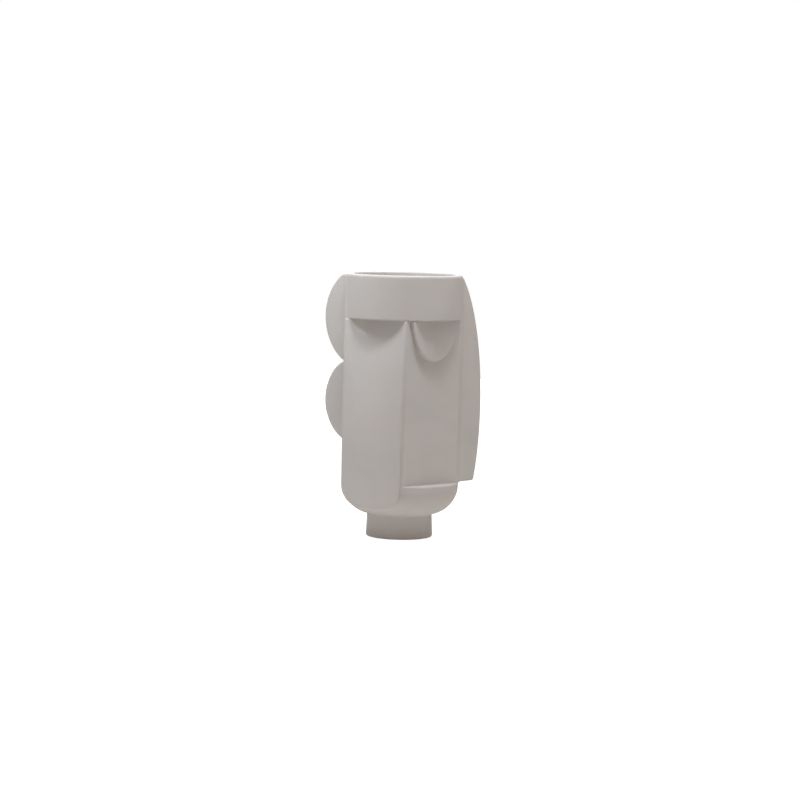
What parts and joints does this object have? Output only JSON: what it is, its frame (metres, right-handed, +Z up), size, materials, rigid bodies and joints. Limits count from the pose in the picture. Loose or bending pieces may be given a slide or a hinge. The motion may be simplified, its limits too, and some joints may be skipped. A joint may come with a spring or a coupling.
{
  "type": "vase",
  "caption": "Tall round ceramic vase dressed as an abstract head, with a wide open mouth, a flat cheek, a nose ridge, a raised eyelid, side plates and a small round foot.",
  "frame": {"origin": "centre of the foot's flat underside, where the vase stands on a table", "axes": "+Z up along the round body's axis, -Y out of the face towards the viewer, +X to the viewer's right, where the long fin is"},
  "size_m": [0.1803, 0.1377, 0.3],
  "materials": {
    "stoneware": "matt, unglazed bone white"
  },
  "bodies": {
    "root": {"foot": "stoneware", "chin_bowl": "stoneware", "chin_ledge": "stoneware", "body_wall": "stoneware", "brow_shelf": "stoneware", "brow_band": "stoneware", "left_cheek": "stoneware", "right_cheek": "stoneware", "right_eyelid": "stoneware", "side_fin": "stoneware", "upper_lobe": "stoneware", "lower_lobe": "stoneware"}
  },
  "joints": []
}
